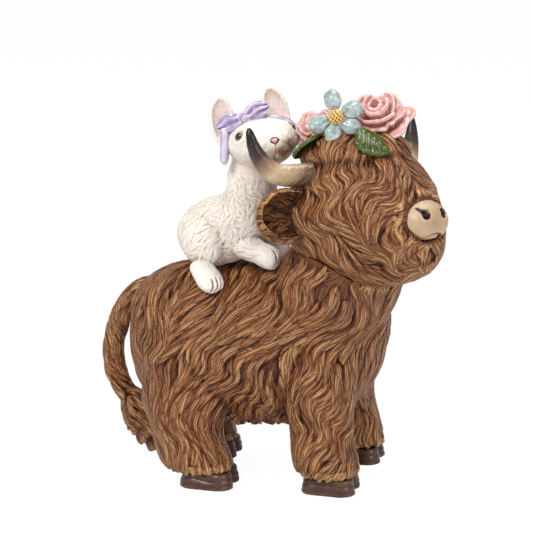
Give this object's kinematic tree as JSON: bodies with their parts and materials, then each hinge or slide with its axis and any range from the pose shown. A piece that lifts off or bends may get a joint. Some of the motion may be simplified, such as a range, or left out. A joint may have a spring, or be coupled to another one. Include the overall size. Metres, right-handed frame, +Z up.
{
  "type": "cow figurine",
  "caption": "Standing shaggy long-horned cow ornament with a rabbit on its back and flowers between its horns, for a shelf or garden.",
  "frame": {"origin": "on the ground, under the middle of the figurine's bounding box", "axes": "+X towards the cow's chest, +Y towards the cow's left side, +Z up"},
  "size_m": [0.1473, 0.0799, 0.161],
  "materials": {
    "blue_petal_paint": "pale mottled blue paint, glossy",
    "brown_hair": "carved resin hair, brown with a dark wash and golden dry brushing, satin",
    "ear_paint": "brown hair outside, dark wash inside, satin",
    "eye_paint": "dark brown paint, glossy",
    "gold_paint": "gold paint, glossy",
    "hoof_paint": "dark chocolate paint on resin, satin",
    "horn_paint": "cream paint that darkens to brown at the tips, satin",
    "leaf_paint": "green paint, glossy",
    "lilac_ribbon": "lilac paint, glossy",
    "muzzle_paint": "cream and taupe paint on resin, satin",
    "nose_paint": "pink paint, satin",
    "rabbit_ear_paint": "white paint, pink inside, satin",
    "rose_paint": "pink paint, glossy",
    "white_fur": "white paint with a beige wash in the fur grooves, satin"
  },
  "bodies": {
    "root": {"blue_flower_centre": "gold_paint", "blue_petal_1": "blue_petal_paint", "blue_petal_2": "blue_petal_paint", "blue_petal_3": "blue_petal_paint", "blue_petal_4": "blue_petal_paint", "blue_petal_5": "blue_petal_paint", "bow_knot": "lilac_ribbon", "bow_loop_left": "lilac_ribbon", "bow_loop_right": "lilac_ribbon", "bow_tail": "lilac_ribbon", "ear_left": "ear_paint", "ear_right": "ear_paint", "fore_hoof_left": "hoof_paint", "fore_hoof_right": "hoof_paint", "foreleg_left": "brown_hair", "foreleg_right": "brown_hair", "forelock": "brown_hair", "head": "brown_hair", "hind_hoof_left": "hoof_paint", "hind_hoof_right": "hoof_paint", "hindleg_left": "brown_hair", "hindleg_right": "brown_hair", "horn_left": "horn_paint", "horn_right": "horn_paint", "leaf_left": "leaf_paint", "leaf_right": "leaf_paint", "lower_lip": "muzzle_paint", "mane": "brown_hair", "muzzle": "muzzle_paint", "rabbit_body": "white_fur", "rabbit_ear_left": "rabbit_ear_paint", "rabbit_ear_right": "rabbit_ear_paint", "rabbit_eye_left": "eye_paint", "rabbit_eye_right": "eye_paint", "rabbit_foot_left": "white_fur", "rabbit_foot_right": "white_fur", "rabbit_foreleg_left": "white_fur", "rabbit_foreleg_right": "white_fur", "rabbit_head": "white_fur", "rabbit_nose": "nose_paint", "rabbit_tail": "white_fur", "rabbit_thigh_left": "white_fur", "rabbit_thigh_right": "white_fur", "ribbon_band": "lilac_ribbon", "rose_large": "rose_paint", "rose_small": "rose_paint", "tail": "brown_hair", "tail_switch": "brown_hair", "trunk": "brown_hair"}
  },
  "joints": []
}
